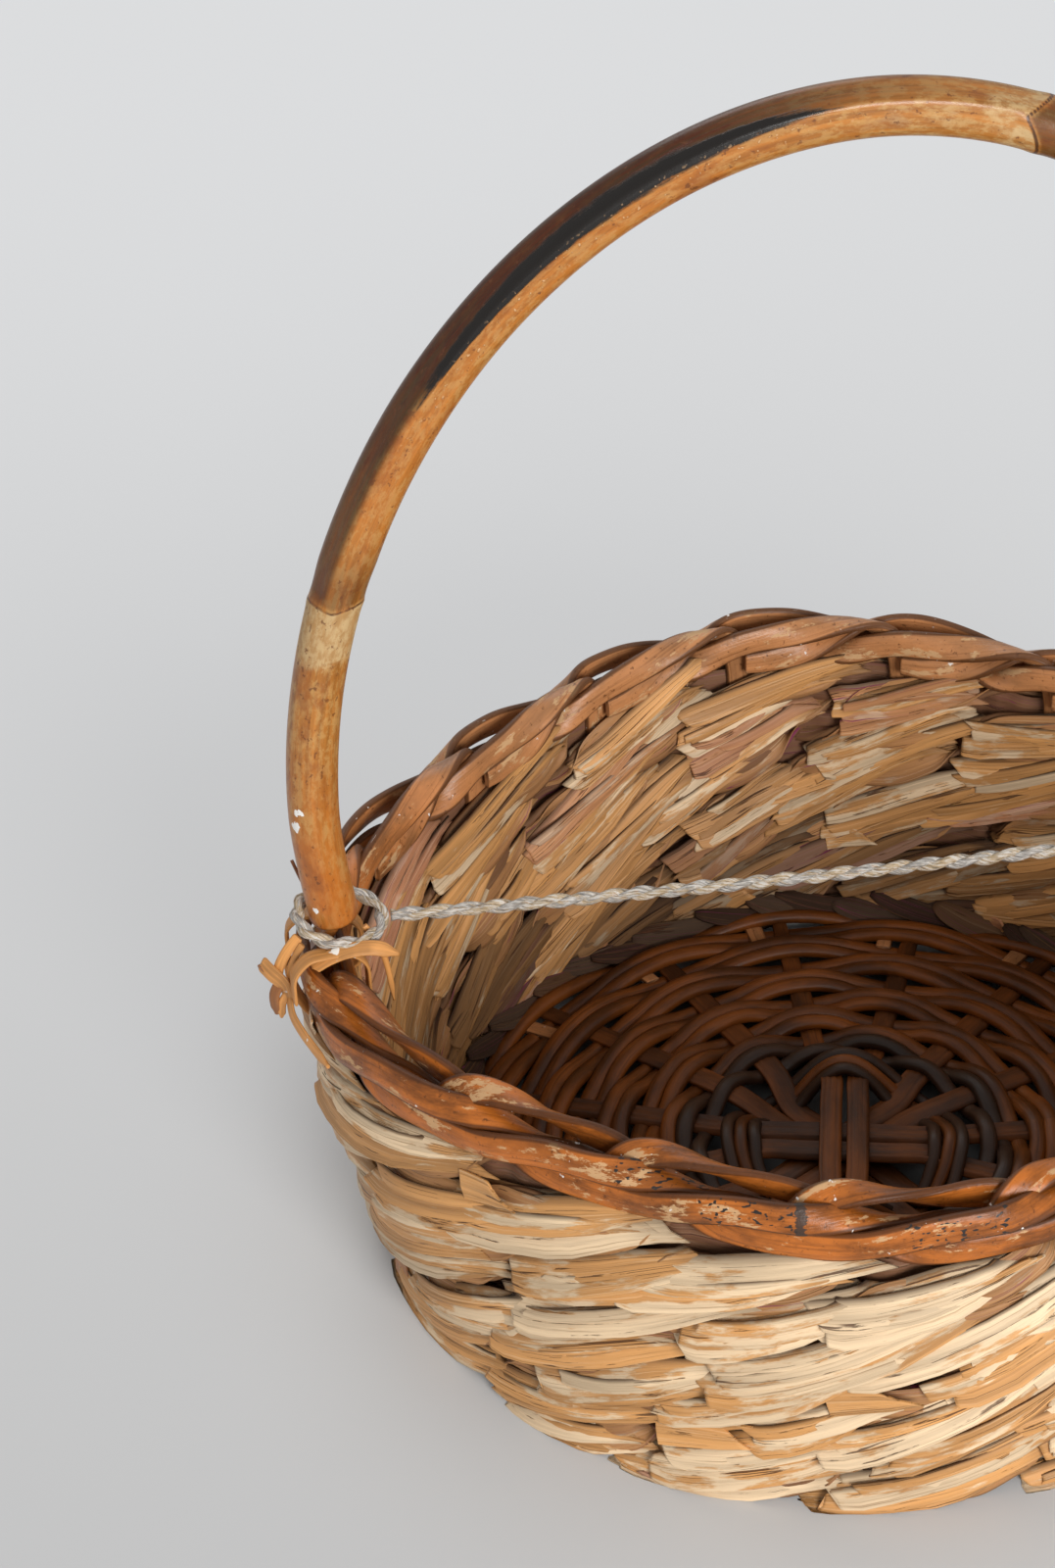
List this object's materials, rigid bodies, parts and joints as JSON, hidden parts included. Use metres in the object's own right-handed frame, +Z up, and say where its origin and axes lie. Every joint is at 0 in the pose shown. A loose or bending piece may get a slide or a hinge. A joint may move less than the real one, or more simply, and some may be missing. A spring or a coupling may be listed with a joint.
{
  "type": "handled basket",
  "caption": "Round woven basket with a flat rod border, a bent cane hoop handle lashed at both feet, and a tie cord across its mouth.",
  "frame": {"origin": "on the floor, under the middle of the base", "axes": "+Z up, X along the handle's span, -Y towards the front of the picture"},
  "size_m": [0.3758, 0.3212, 0.4041],
  "materials": {
    "handle_cane": "polished orange-brown bark of a bent cane with burnt streaks",
    "border_rod": "satin brown bark of split rods, worn pale in patches",
    "leaf_strand": "dry fibrous leaf strands, straw and tan",
    "base_stick": "dull brown split rods",
    "base_weaver": "brown-orange split rods",
    "lashing_splint": "light orange splint with white flecks",
    "tie_cord": "rough two-ply cord, one grey and one straw strand"
  },
  "bodies": {
    "root": {"base_stick_1": "base_stick", "base_stick_2": "base_stick", "base_stick_3": "base_stick", "base_stick_4": "base_stick", "base_stick_5": "base_stick", "base_stick_6": "base_stick", "base_stick_7": "base_stick", "base_stick_8": "base_stick", "base_weaver_1": "base_weaver", "base_weaver_2": "base_weaver", "base_weaver_3": "base_weaver", "base_weaver_4": "base_weaver", "base_weaver_5": "base_weaver", "base_weaver_6": "base_weaver", "base_weaver_7": "base_weaver", "base_weaver_8": "base_weaver", "stake_1": "border_rod", "stake_2": "border_rod", "stake_3": "border_rod", "stake_4": "border_rod", "stake_5": "border_rod", "stake_6": "border_rod", "stake_7": "border_rod", "stake_8": "border_rod", "stake_9": "border_rod", "stake_10": "border_rod", "stake_11": "border_rod", "stake_12": "border_rod", "stake_13": "border_rod", "stake_14": "border_rod", "stake_15": "border_rod", "stake_16": "border_rod", "wall_row_1_strand_a": "leaf_strand", "wall_row_1_strand_b": "leaf_strand", "wall_row_2_strand_a": "leaf_strand", "wall_row_2_strand_b": "leaf_strand", "wall_row_3_strand_a": "leaf_strand", "wall_row_3_strand_b": "leaf_strand", "wall_row_4_strand_a": "leaf_strand", "wall_row_4_strand_b": "leaf_strand", "wall_row_5_strand_a": "leaf_strand", "wall_row_5_strand_b": "leaf_strand", "wall_row_6_strand_a": "leaf_strand", "wall_row_6_strand_b": "leaf_strand", "wall_row_7_strand_a": "leaf_strand", "wall_row_7_strand_b": "leaf_strand", "handle_cane": "handle_cane", "tie_cord": "tie_cord", "lashing_left": "lashing_splint", "lashing_knot_left": "lashing_splint", "cord_loop_left": "tie_cord", "lashing_right": "lashing_splint", "lashing_knot_right": "lashing_splint", "cord_loop_right": "tie_cord"}
  },
  "joints": []
}
